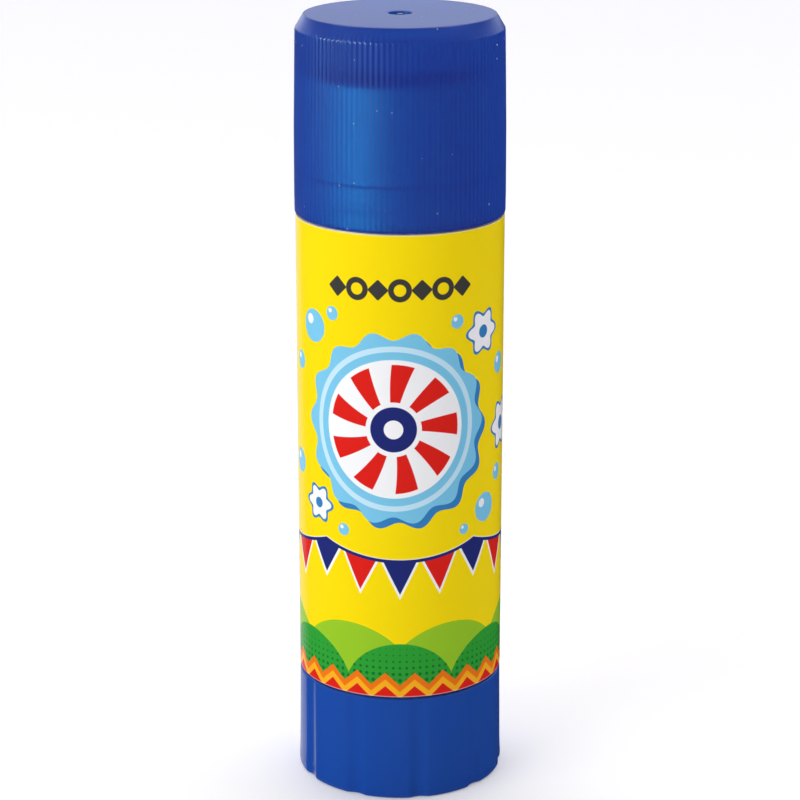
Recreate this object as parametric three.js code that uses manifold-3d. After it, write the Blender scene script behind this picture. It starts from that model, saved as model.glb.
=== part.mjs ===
// A twist-up glue stick: a ribbed push-on cap, a labelled barrel and a fluted turning knob.
// Inside, a lead screw turns with the knob and lifts a carrier with the glue cast on it.
// Millimetres, +Z up, origin in the middle of the foot. The front is towards -Y.

import * as THREE from "three";
import { mergeVertices } from "three/addons/utils/BufferGeometryUtils.js";
import Module from "manifold-3d";

// Outside of the stick
const LABEL_RADIUS = 13.0; // the outside of the label, which sets the stick's diameter
const KNOB_HEIGHT = 13.6;
const BODY_LENGTH = 59.9; // the barrel between the knob and the cap
const CAP_HEIGHT = 24.4;
const SEAM_GAP = 0.3; // the open joint above the knob, and the one below the cap

// Cap
const CAP_WALL = 1.05;
const CAP_ROOF = 1.2;
const CAP_TOP_DRAFT = 0.11; // how far the ribs draw in towards the top
const CAP_BULGE = 0.14; // how far the wall stands out where it passes the neck's bead
const CAP_RIM_FLARE = 0.12;
const CAP_BEVEL_HEIGHT = 1.6;
const CAP_BEVEL_WIDTH = 0.94;
const CAP_RIM_EDGE = 0.25;
const RIB_COUNT = 120;
const RIB_DEPTH = 0.2;
const RIB_END = 0.25; // the height over which a rib ends under the bevel
const CAP_LOWER_RELIEF = 0.3; // the wall is this much thinner where it passes the bead
const CAP_RELIEF_HEIGHT = 5.1;
const CAP_HEAD_DEPTH = 4.2; // the wall is thicker this far down from the top
const CAP_HEAD_STEP = 0.4;
const SEAL_WALL = 0.7;
const SEAL_OVERLAP = 1.9; // how far the sealing ring reaches into the mouth
const GATE_RADIUS = 1.45; // the dimple where the cap was injected
const GATE_DEPTH = 0.5;
const GATE_NUB_RADIUS = 0.4;
const GATE_NUB_HEIGHT = 0.3;

// Barrel
const NECK_WALL = 1.0;
const NECK_LENGTH = 17.7;
const NECK_EDGE = 0.3;
const BEAD_HEIGHT = 0.3;
const BEAD_WIDTH = 1.6;
const BEAD_ABOVE_SHOULDER = 2.9; // to the middle of the bead
const STUB_WALL = 1.0; // the lower end of the tube, inside the knob
const WEB_THICKNESS = 1.2; // the barrel's floor
const GUIDE_COUNT = 4;
const GUIDE_WIDTH = 1.2;
const GUIDE_HEIGHT = 0.55;
const GUIDE_BELOW_MOUTH = 3.5;

// Label
const LABEL_THICKNESS = 0.15;
const LABEL_GAP = 0.05; // between the film and the barrel
const LABEL_MARGIN = 0.05; // bare barrel left at each end of the label

// Knob
const FLUTE_COUNT = 10;
const FLUTE_DEPTH = 0.4;
const FLUTE_WIDTH = 13; // in degrees
const FLUTE_START = 10.7; // the first flute, in degrees from the front towards +X
const KNOB_SWELL = 0.13; // how far the knob has widened at its waist
const KNOB_WAIST = 2.6;
const KNOB_FOOT_SWELL = 0.21;
const KNOB_FOOT_EDGE = 0.3;
const KNOB_TOP_EDGE = 0.2;
const KNOB_FLOOR = 1.2;
const FOOT_RECESS = 0.8; // the hollow under the foot
const FOOT_WIDTH = 2.4; // the flat ring that the stick stands on
const BOSS_HEIGHT = 3.9;
const BOSS_WALL = 1.4;

// Lead screw
const SHANK_RADIUS = 3.3; // over the corners of the hexagon in the knob's socket
const JOURNAL_RADIUS = 4.3;
const COLLAR_WIDTH = 1.3; // the collar stands out this far past the journal
const COLLAR_THICKNESS = 0.8;
const THREAD_RADIUS = 4.2;
const THREAD_DEPTH = 1.1;
const THREAD_LEAD = 4.0; // the rise of the carrier in one turn of the knob
const THREAD_CREST = 0.8;
const THREAD_FLANK = 0.8;
const SCREW_SPARE = 0.7; // thread left above the nut when the glue is fully out

// Carrier
const CARRIER_HEIGHT = 10.0;
const CARRIER_FLOOR = 1.0;
const CARRIER_WALL = 1.15;
const NUT_LENGTH = 8.0;
const NUT_WALL = 1.4;

// Glue
const GLUE_RECESS = 4.0; // the glue's top lies this far below the mouth
const GLUE_CROWN = 4.0; // solid glue above the end of the screw
const GLUE_EDGE = 0.6;

// Clearances
const FIT_GAP = 0.25; // radial, between pieces that slide or turn on each other
const THREAD_GAP = 0.25;
const END_GAP = 0.3; // along the axis, between pieces that pass or rest on each other
const GUIDE_GAP = 0.3; // round a guide rib
const CAST_GAP = 0.3; // between the glue and the carrier

// Fineness of the meshes
const ROUND = 60; // sides of a plain round surface
const FLUTED_ROUND = 120;
const RIBBED_ROUND = 2 * RIB_COUNT;
const SMALL_ROUND = 20;
const THREAD_STEPS = 16; // steps in one turn of the thread
const HEXAGON = 6;
const OVERRUN = 1.0; // how far a cutting body passes the face that it cuts

// Radii that follow from the walls and clearances
const capBore = LABEL_RADIUS - CAP_WALL;
const neckRadius = capBore - FIT_GAP;
const boreRadius = neckRadius - NECK_WALL;
const bodyRadius = LABEL_RADIUS - LABEL_THICKNESS - LABEL_GAP;
const stubRadius = boreRadius + STUB_WALL;
const guideTip = boreRadius - GUIDE_HEIGHT;
const notchFloor = guideTip - GUIDE_GAP;
const carrierRadius = boreRadius - FIT_GAP;
const cupRadius = carrierRadius - CARRIER_WALL;
const nutRadius = THREAD_RADIUS + THREAD_GAP + NUT_WALL;
const glueRadius = boreRadius - CAST_GAP;
const socketRadius = SHANK_RADIUS + THREAD_GAP;
const bossRadius = socketRadius + BOSS_WALL;

// Heights that follow from the lengths and clearances
const bodyBottom = KNOB_HEIGHT + SEAM_GAP;
const bodyTop = bodyBottom + BODY_LENGTH;
const capRim = bodyTop + SEAM_GAP;
const capTop = capRim + CAP_HEIGHT;
const mouth = bodyTop + NECK_LENGTH;
const roof = capTop - CAP_ROOF;
const floorTop = FOOT_RECESS + KNOB_FLOOR;
const bossTop = floorTop + BOSS_HEIGHT;
const webBottom = bossTop + END_GAP;
const webTop = webBottom + WEB_THICKNESS;
const collarBottom = webTop + END_GAP;
const collarTop = collarBottom + COLLAR_THICKNESS;
const carrierBottom = collarTop + END_GAP;
const carrierTop = carrierBottom + CARRIER_HEIGHT;
const nutTop = carrierBottom + NUT_LENGTH;
const glueTop = mouth - GLUE_RECESS;
const screwTop = glueTop - GLUE_CROWN;

const wasm = await Module();
wasm.setup();

// Meshes

function signedVolume(position, index) {
  const [a, b, c] = [new THREE.Vector3(), new THREE.Vector3(), new THREE.Vector3()];
  let sum = 0;
  for (let i = 0; i < index.length; i += 3) {
    a.fromBufferAttribute(position, index[i]);
    b.fromBufferAttribute(position, index[i + 1]);
    c.fromBufferAttribute(position, index[i + 2]);
    sum += a.dot(b.cross(c)) / 6;
  }
  return sum;
}

// A closed geometry as a solid: corners merged, collapsed triangles dropped, faces turned outwards
function solid(geometry) {
  geometry.deleteAttribute("normal");
  geometry.deleteAttribute("uv");
  const merged = mergeVertices(geometry);
  const position = merged.attributes.position;
  const kept = [];
  for (let i = 0; i < merged.index.count; i += 3) {
    const [a, b, c] = merged.index.array.slice(i, i + 3);
    if (a !== b && b !== c && c !== a) {
      kept.push(a, b, c);
    }
  }
  if (signedVolume(position, kept) < 0) {
    kept.reverse();
  }
  const mesh = new wasm.Mesh({
    numProp: 3,
    vertProperties: new Float32Array(position.array),
    triVerts: new Uint32Array(kept),
  });
  return new wasm.Manifold(mesh);
}

// A solid turned about the Z axis from [radius, height, cut] points.
// The cut is how deep the pattern of that angle goes in at the point.
function turned(profile, sides = ROUND, startAngle = 0, pattern = () => 0) {
  const points = profile.map(([radius, height]) => new THREE.Vector2(radius, height));
  const geometry = new THREE.LatheGeometry(points, sides, startAngle);
  geometry.rotateX(Math.PI / 2);
  const position = geometry.attributes.position;
  for (let i = 0; i < position.count; i += 1) {
    const [radius, , cut = 0] = profile[i % profile.length];
    if (cut > 0) {
      const angle = Math.atan2(position.getX(i), -position.getY(i));
      const cutRadius = radius - cut * pattern(angle);
      position.setXY(i, cutRadius * Math.sin(angle), -cutRadius * Math.cos(angle));
    }
  }
  return solid(geometry);
}

// An upright prism or cylinder between two heights
function upright(radius, bottom, top, sides = ROUND) {
  const geometry = new THREE.CylinderGeometry(radius, radius, top - bottom, sides);
  geometry.rotateX(Math.PI / 2);
  geometry.translate(0, 0, (top + bottom) / 2);
  return solid(geometry);
}

// Bars that stand round the axis, one at each guide, between two radii and two heights
function guideBars(inner, outer, width, bottom, top) {
  const bars = [];
  for (let i = 0; i < GUIDE_COUNT; i += 1) {
    const geometry = new THREE.BoxGeometry(outer - inner, width, top - bottom);
    geometry.translate((inner + outer) / 2, 0, (top + bottom) / 2);
    geometry.rotateZ(((i + 0.5) / GUIDE_COUNT) * 2 * Math.PI);
    bars.push(solid(geometry));
  }
  return bars.reduce((all, bar) => all.add(bar));
}

// A rod with a left-hand thread that covers at least bottom to top, cut off square at both.
// Its turns are in step with every other rod made here, so a nut cut by one fits another.
function threadedRod(gap, bottom, top) {
  const root = THREAD_RADIUS - THREAD_DEPTH + gap;
  const crest = THREAD_RADIUS + gap;
  const tooth = [
    [root, -THREAD_CREST / 2 - THREAD_FLANK - gap],
    [crest, -THREAD_CREST / 2 - gap],
    [crest, THREAD_CREST / 2 + gap],
    [root, THREAD_CREST / 2 + THREAD_FLANK + gap],
  ];
  const firstTurn = Math.floor(bottom / THREAD_LEAD) - 1;
  const lastTurn = Math.ceil(top / THREAD_LEAD) + 1;
  const steps = (lastTurn - firstTurn) * THREAD_STEPS;
  const corners = [];
  for (let k = 0; k <= steps; k += 1) {
    const angle = (-2 * Math.PI * (k % THREAD_STEPS)) / THREAD_STEPS;
    const height = (firstTurn + k / THREAD_STEPS) * THREAD_LEAD;
    for (const [radius, offset] of tooth) {
      corners.push(radius * Math.cos(angle), radius * Math.sin(angle), height + offset);
    }
  }
  const at = (k, j) => k * tooth.length + j;
  const faces = [];
  const quad = (a, b, c, d) => faces.push(a, b, c, a, c, d);
  for (let k = 0; k < steps; k += 1) {
    for (let j = 0; j + 1 < tooth.length; j += 1) {
      quad(at(k, j), at(k, j + 1), at(k + 1, j + 1), at(k + 1, j));
    }
    if (k + THREAD_STEPS < steps) {
      const [next, last] = [k + THREAD_STEPS, tooth.length - 1];
      quad(at(k, last), at(next, 0), at(next + 1, 0), at(k + 1, last));
    }
  }
  const foot = corners.length / 3;
  corners.push(0, 0, (firstTurn - 1) * THREAD_LEAD, 0, 0, (lastTurn + 1) * THREAD_LEAD);
  const fan = (hub, loop) => loop.forEach((a, i) => faces.push(hub, loop[(i + 1) % loop.length], a));
  const lowLoop = [];
  const highLoop = [];
  for (let k = 0; k <= THREAD_STEPS; k += 1) {
    lowLoop.push(at(THREAD_STEPS - k, 0));
    highLoop.push(at(steps - THREAD_STEPS + k, tooth.length - 1));
  }
  for (let j = 1; j < tooth.length; j += 1) {
    lowLoop.push(at(0, j));
    highLoop.push(at(steps, tooth.length - 1 - j));
  }
  fan(foot, lowLoop);
  fan(foot + 1, highLoop);
  const geometry = new THREE.BufferGeometry();
  geometry.setAttribute("position", new THREE.Float32BufferAttribute(corners, 3));
  geometry.setIndex(faces);
  return solid(geometry).intersect(upright(crest + OVERRUN, bottom, top, SMALL_ROUND));
}

// Pieces

function cap() {
  const bevelBottom = capTop - CAP_BEVEL_HEIGHT;
  const ribTop = LABEL_RADIUS - CAP_TOP_DRAFT;
  const rimRadius = LABEL_RADIUS + CAP_RIM_FLARE;
  const ribs = (angle) => (1 - Math.cos(RIB_COUNT * angle)) / 2;
  const outside = turned(
    [
      [0, capRim],
      [rimRadius - CAP_RIM_EDGE, capRim],
      [rimRadius, capRim + CAP_RIM_EDGE, RIB_DEPTH],
      [LABEL_RADIUS + CAP_BULGE, bodyTop + BEAD_ABOVE_SHOULDER, RIB_DEPTH],
      [ribTop, bevelBottom - RIB_END, RIB_DEPTH],
      [ribTop - RIB_DEPTH, bevelBottom],
      [ribTop - RIB_DEPTH - CAP_BEVEL_WIDTH, capTop],
      [0, capTop],
    ],
    RIBBED_ROUND,
    0,
    ribs,
  );
  const headBottom = capTop - CAP_HEAD_DEPTH;
  const reliefTop = capRim + CAP_RELIEF_HEIGHT;
  const sealOuter = boreRadius - FIT_GAP;
  const sealBottom = mouth - SEAL_OVERLAP;
  const inside = turned([
    [0, capRim - OVERRUN],
    [capBore + CAP_LOWER_RELIEF, capRim - OVERRUN],
    [capBore + CAP_LOWER_RELIEF, reliefTop],
    [capBore, reliefTop + CAP_LOWER_RELIEF],
    [capBore, headBottom],
    [capBore - CAP_HEAD_STEP, headBottom],
    [capBore - CAP_HEAD_STEP, roof],
    [sealOuter, roof],
    [sealOuter, sealBottom],
    [sealOuter - SEAL_WALL, sealBottom],
    [sealOuter - SEAL_WALL, roof],
    [0, roof],
  ]);
  const dimple = upright(GATE_RADIUS, capTop - GATE_DEPTH, capTop + OVERRUN, SMALL_ROUND);
  const nubBottom = capTop - GATE_DEPTH;
  const nub = upright(GATE_NUB_RADIUS, nubBottom - GATE_NUB_HEIGHT, nubBottom + GATE_NUB_HEIGHT, SMALL_ROUND);
  return outside.subtract(inside).subtract(dimple).add(nub);
}

function barrel() {
  const bead = bodyTop + BEAD_ABOVE_SHOULDER;
  const stubBottom = floorTop + END_GAP;
  const webHole = JOURNAL_RADIUS + FIT_GAP;
  const tube = turned([
    [stubRadius, stubBottom],
    [stubRadius, bodyBottom],
    [bodyRadius, bodyBottom],
    [bodyRadius, bodyTop],
    [neckRadius, bodyTop],
    [neckRadius, bead - BEAD_WIDTH / 2],
    [neckRadius + BEAD_HEIGHT, bead],
    [neckRadius, bead + BEAD_WIDTH / 2],
    [neckRadius, mouth - NECK_EDGE],
    [neckRadius - NECK_EDGE, mouth],
    [boreRadius, mouth],
    [boreRadius, webTop],
    [webHole, webTop],
    [webHole, webBottom],
    [boreRadius, webBottom],
    [boreRadius, stubBottom],
    [stubRadius, stubBottom],
  ]);
  const rooted = boreRadius + NECK_WALL / 2;
  return tube.add(guideBars(guideTip, rooted, GUIDE_WIDTH, webBottom, mouth - GUIDE_BELOW_MOUTH));
}

function label() {
  const bottom = bodyBottom + LABEL_MARGIN;
  const top = bodyTop - LABEL_MARGIN;
  const inner = LABEL_RADIUS - LABEL_THICKNESS;
  return turned([
    [inner, bottom],
    [LABEL_RADIUS, bottom],
    [LABEL_RADIUS, top],
    [inner, top],
    [inner, bottom],
  ]);
}

function baseKnob() {
  const footRadius = LABEL_RADIUS + KNOB_FOOT_SWELL;
  const start = THREE.MathUtils.degToRad(FLUTE_START);
  const halfWidth = THREE.MathUtils.degToRad(FLUTE_WIDTH / 2);
  const pitch = (2 * Math.PI) / FLUTE_COUNT;
  const flutes = (angle) => {
    const away = Math.abs(angle - start - pitch * Math.round((angle - start) / pitch));
    return away < halfWidth ? (1 + Math.cos((Math.PI * away) / halfWidth)) / 2 : 0;
  };
  const outside = turned(
    [
      [0, 0],
      [footRadius - KNOB_FOOT_EDGE, 0, FLUTE_DEPTH],
      [footRadius, KNOB_FOOT_EDGE, FLUTE_DEPTH],
      [LABEL_RADIUS + KNOB_SWELL, KNOB_WAIST, FLUTE_DEPTH],
      [LABEL_RADIUS, KNOB_HEIGHT - KNOB_TOP_EDGE, FLUTE_DEPTH],
      [LABEL_RADIUS - KNOB_TOP_EDGE, KNOB_HEIGHT, FLUTE_DEPTH],
      [0, KNOB_HEIGHT],
    ],
    FLUTED_ROUND,
    start,
    flutes,
  );
  const skirtBore = stubRadius + FIT_GAP;
  const inside = turned([
    [0, bossTop],
    [bossRadius, bossTop],
    [bossRadius, floorTop],
    [skirtBore, floorTop],
    [skirtBore, KNOB_HEIGHT + OVERRUN],
    [0, KNOB_HEIGHT + OVERRUN],
  ]);
  const hollow = upright(footRadius - KNOB_FOOT_EDGE - FOOT_WIDTH, -OVERRUN, FOOT_RECESS);
  const socket = upright(socketRadius, floorTop, bossTop + OVERRUN, HEXAGON);
  return outside.subtract(inside).subtract(hollow).subtract(socket);
}

function leadScrew() {
  const shank = upright(SHANK_RADIUS, floorTop + END_GAP, webBottom, HEXAGON);
  const journal = upright(JOURNAL_RADIUS, bossTop + END_GAP / 2, collarBottom, SMALL_ROUND);
  const collar = upright(JOURNAL_RADIUS + COLLAR_WIDTH, collarBottom, collarTop, ROUND);
  const thread = threadedRod(0, collarTop, screwTop);
  return shank.add(journal).add(collar).add(thread);
}

function carrier() {
  const cup = turned([
    [0, carrierBottom],
    [carrierRadius, carrierBottom],
    [carrierRadius, carrierTop],
    [cupRadius, carrierTop],
    [cupRadius, carrierBottom + CARRIER_FLOOR],
    [nutRadius, carrierBottom + CARRIER_FLOOR],
    [nutRadius, nutTop],
    [0, nutTop],
  ]);
  const tap = threadedRod(THREAD_GAP, carrierBottom - OVERRUN, nutTop + OVERRUN);
  const notches = guideBars(
    notchFloor,
    carrierRadius + OVERRUN,
    GUIDE_WIDTH + 2 * GUIDE_GAP,
    carrierBottom - OVERRUN,
    carrierTop + OVERRUN,
  );
  return cup.subtract(tap).subtract(notches);
}

function glue() {
  const screwBore = THREAD_RADIUS + CAST_GAP;
  const nutBore = nutRadius + CAST_GAP;
  const bottom = carrierBottom + CARRIER_FLOOR + CAST_GAP;
  const ledge = carrierTop + CAST_GAP;
  const stick = turned([
    [0, screwTop + CAST_GAP],
    [screwBore, screwTop + CAST_GAP],
    [screwBore, nutTop + CAST_GAP],
    [nutBore, nutTop + CAST_GAP],
    [nutBore, bottom],
    [cupRadius - CAST_GAP, bottom],
    [cupRadius - CAST_GAP, ledge],
    [glueRadius, ledge],
    [glueRadius, glueTop - GLUE_EDGE],
    [glueRadius - GLUE_EDGE, glueTop],
    [0, glueTop],
  ]);
  const grooves = guideBars(
    notchFloor,
    glueRadius + OVERRUN,
    GUIDE_WIDTH + 2 * GUIDE_GAP,
    bottom,
    glueTop + OVERRUN,
  );
  return stick.subtract(grooves);
}

// Assembly

const plastic = (color, roughness, more = {}) =>
  new THREE.MeshStandardMaterial({ color, roughness, metalness: 0, ...more });

const finishes = {
  cap: plastic(0x1f47a0, 0.3, { transparent: true, opacity: 0.8 }),
  barrel: plastic(0xf3f3ee, 0.4),
  label: plastic(0xf7df05, 0.3),
  base_knob: plastic(0x1d4a9c, 0.25),
  lead_screw: plastic(0xeeeeea, 0.45),
  carrier: plastic(0xeeeeea, 0.45),
  glue: plastic(0xf1efe6, 0.6),
};

function piece(name, body) {
  const mesh = body.getMesh();
  const geometry = new THREE.BufferGeometry();
  geometry.setAttribute("position", new THREE.Float32BufferAttribute(mesh.vertProperties, mesh.numProp));
  geometry.setIndex(Array.from(mesh.triVerts));
  geometry.computeVertexNormals();
  const made = new THREE.Mesh(geometry, finishes[name]);
  made.name = name;
  return made;
}

// What stays still in the hand, what turns with the knob, and what the screw lifts
const held = new THREE.Group();
held.add(piece("barrel", barrel()), piece("label", label()));

const turning = new THREE.Group();
turning.add(piece("base_knob", baseKnob()), piece("lead_screw", leadScrew()));

const lifted = new THREE.Group();
lifted.add(piece("carrier", carrier()), piece("glue", glue()));

const glueStick = new THREE.Group();
glueStick.add(held, turning, lifted, piece("cap", cap()));

export default glueStick;
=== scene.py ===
"""A twist-up glue stick on a white table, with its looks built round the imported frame.

Lengths are in metres and MM is a millimetre. +Z runs up the stick and the front is towards -Y.
An angle round the stick is counted from the front towards +X.
"""

import logging
import math
from collections.abc import Callable, Sequence
from dataclasses import dataclass
from enum import Enum

import bmesh
import bpy
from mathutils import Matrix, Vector


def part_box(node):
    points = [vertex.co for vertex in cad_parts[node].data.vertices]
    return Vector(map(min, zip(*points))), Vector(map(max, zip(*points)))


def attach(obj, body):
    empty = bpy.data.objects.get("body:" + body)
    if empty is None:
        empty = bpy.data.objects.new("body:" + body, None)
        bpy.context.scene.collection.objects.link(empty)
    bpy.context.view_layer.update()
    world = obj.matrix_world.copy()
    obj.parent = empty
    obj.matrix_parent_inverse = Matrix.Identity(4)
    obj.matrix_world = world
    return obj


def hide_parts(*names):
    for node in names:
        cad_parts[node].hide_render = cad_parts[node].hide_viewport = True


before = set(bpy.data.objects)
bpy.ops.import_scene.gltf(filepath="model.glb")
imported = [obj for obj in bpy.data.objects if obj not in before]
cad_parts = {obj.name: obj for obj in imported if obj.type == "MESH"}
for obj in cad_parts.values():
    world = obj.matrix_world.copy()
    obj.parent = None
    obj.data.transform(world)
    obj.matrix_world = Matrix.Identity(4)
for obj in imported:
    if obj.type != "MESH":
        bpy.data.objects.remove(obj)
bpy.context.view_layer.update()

MM = 0.001
CLOSE = 0.0005 * MM  # two places nearer than this are the same place
SAME_RADIUS = 0.0001  # two radii in millimetres that differ by less are the same
SAME_ANGLE = 0.00001  # two angles in radians that differ by less are the same
PLAIN = 240  # sides of a smooth round wall
GUIDES = 4  # guide ribs in the barrel, which the grooves in the glue pass
PLASTIC_IOR = 1.49
CAP_PIECE = "cap_shell"
TUBE_PIECE = "barrel_tube"
log = logging.getLogger("glue_stick")

Socket = bpy.types.NodeSocket
Triple = tuple[float, float, float]
Colour = Triple


class Body(Enum):
    """The bodies that the pieces ride on."""

    BARREL = "barrel"
    KNOB = "knob"
    CARRIER = "carrier"
    CAP = "cap"


def srgb(red: int, green: int, blue: int) -> Colour:
    """A colour given as on a screen, in parts from 0 to 255, as the linear colour that a shader takes."""
    parts = (red / 255, green / 255, blue / 255)
    return tuple(part / 12.92 if part <= 0.04045 else ((part + 0.055) / 1.055) ** 2.4 for part in parts)


# Mesh work


@dataclass(frozen=True)
class Corner:
    """A corner of a turned profile: how far it is rounded off, and how deep a pattern cuts there."""

    radius: float
    height: float
    fillet: float = 0.0
    cut: float = 0.0


def rounded(corners: Sequence[Corner], steps: int = 4) -> list[Corner]:
    """Rounds off the corners of a profile.

    Args:
        corners: the corners in order. The first and the last stay as they are.
        steps: how many edges each rounded corner gets.

    Returns:
        The profile with a row of points in place of each rounded corner.
    """
    points = [corners[0]]
    for before, corner, after in zip(corners, corners[1:], corners[2:]):
        if corner.fillet <= 0:
            points.append(corner)
            continue
        here = Vector((corner.radius, corner.height))
        legs = [Vector((other.radius, other.height)) - here for other in (before, after)]
        start, end = (here + leg.normalized() * min(corner.fillet, leg.length / 2) for leg in legs)
        for step in range(steps + 1):
            share = step / steps
            place = start * (1 - share) ** 2 + here * 2 * share * (1 - share) + end * share**2
            points.append(Corner(place.x, place.y, cut=corner.cut))
    points.append(corners[-1])
    return points


def angle_of(place: Vector) -> float:
    """The angle of a place round the stick, in radians from the front towards +X."""
    return math.atan2(place.x, -place.y)


def radius_of(place: Vector) -> float:
    """The distance of a place from the stick's axis."""
    return math.hypot(place.x, place.y)


def on_ring(place: Vector, ring: Corner) -> bool:
    """Whether a place lies on a plain ring, given by its radius and height."""
    return abs(place.z - ring.height) < CLOSE and abs(radius_of(place) - ring.radius) < 4 * CLOSE


def off_guide(angle: float) -> float:
    """How far an angle round the stick is from the nearest guide rib of the barrel."""
    return abs(math.remainder(angle - math.pi / GUIDES, 2 * math.pi / GUIDES))


def clear_selection() -> None:
    """Leaves nothing selected, so that the next operator acts on new geometry alone."""
    bpy.ops.object.select_all(action="DESELECT")


class Turned:
    """A piece grown ring by ring round the stick's axis, then closed, smoothed and named."""

    def __init__(self, name: str, sides: int, first: Corner, turn: float = 0.0) -> None:
        """Starts the piece with one ring.

        Args:
            name: the piece's name.
            sides: how many corners the ring has.
            first: the ring's radius and height.
            turn: the angle of one of its corners, in radians from the back.
        """
        clear_selection()
        bpy.ops.mesh.primitive_circle_add(vertices=sides, radius=first.radius, rotation=(0, 0, turn))
        bpy.ops.object.transform_apply(location=True, rotation=True, scale=True)
        self.piece = bpy.context.active_object
        self.piece.name = name
        self.piece.data.name = name
        bpy.ops.object.mode_set(mode="EDIT")
        bpy.ops.mesh.select_mode(type="VERT")
        bpy.ops.mesh.select_all(action="SELECT")
        bpy.ops.transform.translate(value=(0, 0, first.height))
        self.ring = first

    def mesh(self) -> bmesh.types.BMesh:
        """The mesh that is being edited.

        Returns:
            The mesh, with its vertices ready to be numbered.
        """
        made = bmesh.from_edit_mesh(self.piece.data)
        made.verts.ensure_lookup_table()
        return made

    def choose(self, wanted: Callable[[bmesh.types.BMVert], bool]) -> None:
        """Selects the wanted vertices, with the edges and faces between them.

        Args:
            wanted: whether a vertex is chosen.
        """
        made = self.mesh()
        for vertex in made.verts:
            vertex.select = wanted(vertex)
        made.select_flush_mode()
        bmesh.update_edit_mesh(self.piece.data)

    def choose_faces(self, wanted: Callable[[Vector], bool]) -> None:
        """Selects the faces whose middle is wanted.

        Args:
            wanted: whether a face with its middle at a place is chosen.
        """
        bpy.ops.mesh.select_all(action="DESELECT")
        bpy.ops.mesh.select_mode(type="FACE")
        made = self.mesh()
        for face in made.faces:
            face.select_set(wanted(face.calc_center_median()))
        bmesh.update_edit_mesh(self.piece.data)

    def start(self, sides: int, first: Corner) -> "Turned":
        """Adds a loose ring with another number of sides, to go on from.

        Args:
            sides: how many corners the ring has.
            first: the ring's radius and height.

        Returns:
            This piece, so that calls can follow one another.
        """
        bpy.ops.mesh.select_all(action="DESELECT")
        place = (0, 0, first.height)
        bpy.ops.mesh.primitive_circle_add(vertices=sides, radius=first.radius, location=place)
        self.ring = first
        return self

    def grow(self, corner: Corner, pattern: Callable[[float], float] | None = None) -> None:
        """Extrudes the last ring to the next corner of the profile.

        Args:
            corner: the new ring.
            pattern: how much of the corner's cut goes in at an angle, from 0 to 1.
        """
        rise = (0, 0, corner.height - self.ring.height)
        bpy.ops.mesh.extrude_region_move(TRANSFORM_OT_translate={"value": rise})
        made = self.mesh()
        places = {vertex.index: vertex.co.copy() for vertex in made.verts if vertex.select}
        groups: dict[tuple[float, float], set[int]] = {}
        for index, place in places.items():
            cut = corner.cut * pattern(angle_of(place)) if pattern and corner.cut else 0.0
            key = (round((corner.radius - cut) / MM, 6), round(radius_of(place) / MM, 4))
            groups.setdefault(key, set()).add(index)
        for (wanted, now), members in groups.items():
            if abs(wanted - now) > SAME_RADIUS:
                self.choose(lambda vertex: vertex.index in members)
                scale = wanted * MM / radius_of(places[next(iter(members))])
                bpy.ops.transform.resize(value=(scale, scale, 1), center_override=(0, 0, corner.height))
        self.choose(lambda vertex: vertex.index in places)
        self.ring = corner

    def follow(self, corners: Sequence[Corner], pattern: Callable[[float], float] | None = None) -> "Turned":
        """Grows the piece along a profile.

        Args:
            corners: the corners that come after the last ring.
            pattern: how much of a corner's cut goes in at an angle, from 0 to 1.

        Returns:
            This piece, so that calls can follow one another.
        """
        for corner in corners:
            self.grow(corner, pattern)
        return self

    def fill(self) -> "Turned":
        """Closes the last ring with a flat face."""
        bpy.ops.mesh.edge_face_add()
        return self

    def cover(self, ring: Corner) -> "Turned":
        """Closes a plain ring, given by its radius and height, with a flat face."""
        self.choose(lambda vertex: on_ring(vertex.co, ring))
        return self.fill()

    def bridge(self, one: Corner, other: Corner) -> "Turned":
        """Joins two plain rings with faces.

        Args:
            one: the radius and height of the first ring.
            other: the radius and height of the second.

        Returns:
            This piece, so that calls can follow one another.
        """
        self.choose(lambda vertex: on_ring(vertex.co, one) or on_ring(vertex.co, other))
        bpy.ops.mesh.bridge_edge_loops()
        return self

    def turn_faces_out(self) -> None:
        """Makes every face point out of the solid."""
        bpy.ops.mesh.select_all(action="SELECT")
        bpy.ops.mesh.normals_make_consistent(inside=False)

    def finish(
        self, body: Body, slot: str, node: str, material: bpy.types.Material, sharp: float = 40.0
    ) -> bpy.types.Object:
        """Leaves edit mode, smooths the piece, sets it on its body and dresses it.

        Args:
            body: the body that the piece rides on.
            slot: not used.
            node: the CAD node that it stands for.
            material: its material.
            sharp: edges that turn by more than this many degrees stay crisp.

        Returns:
            The finished piece.
        """
        self.turn_faces_out()
        bpy.ops.object.mode_set(mode="OBJECT")
        bpy.ops.object.shade_smooth_by_angle(angle=math.radians(sharp))
        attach(self.piece, body.value)
        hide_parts(node)
        dress(self.piece, material)
        return self.piece

    def paint(self, material: bpy.types.Material, wanted: Callable[[Vector], bool]) -> None:
        """Gives some faces of the finished piece another material.

        Args:
            material: the material.
            wanted: whether a face with its middle at a place gets it.
        """
        materials = self.piece.data.materials
        materials.append(material)
        clear_selection()
        self.piece.select_set(True)
        bpy.context.view_layer.objects.active = self.piece
        bpy.ops.object.mode_set(mode="EDIT")
        self.choose_faces(wanted)
        self.piece.active_material_index = len(materials) - 1
        bpy.ops.object.material_slot_assign()
        bpy.ops.object.mode_set(mode="OBJECT")


# Shader work


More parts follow.
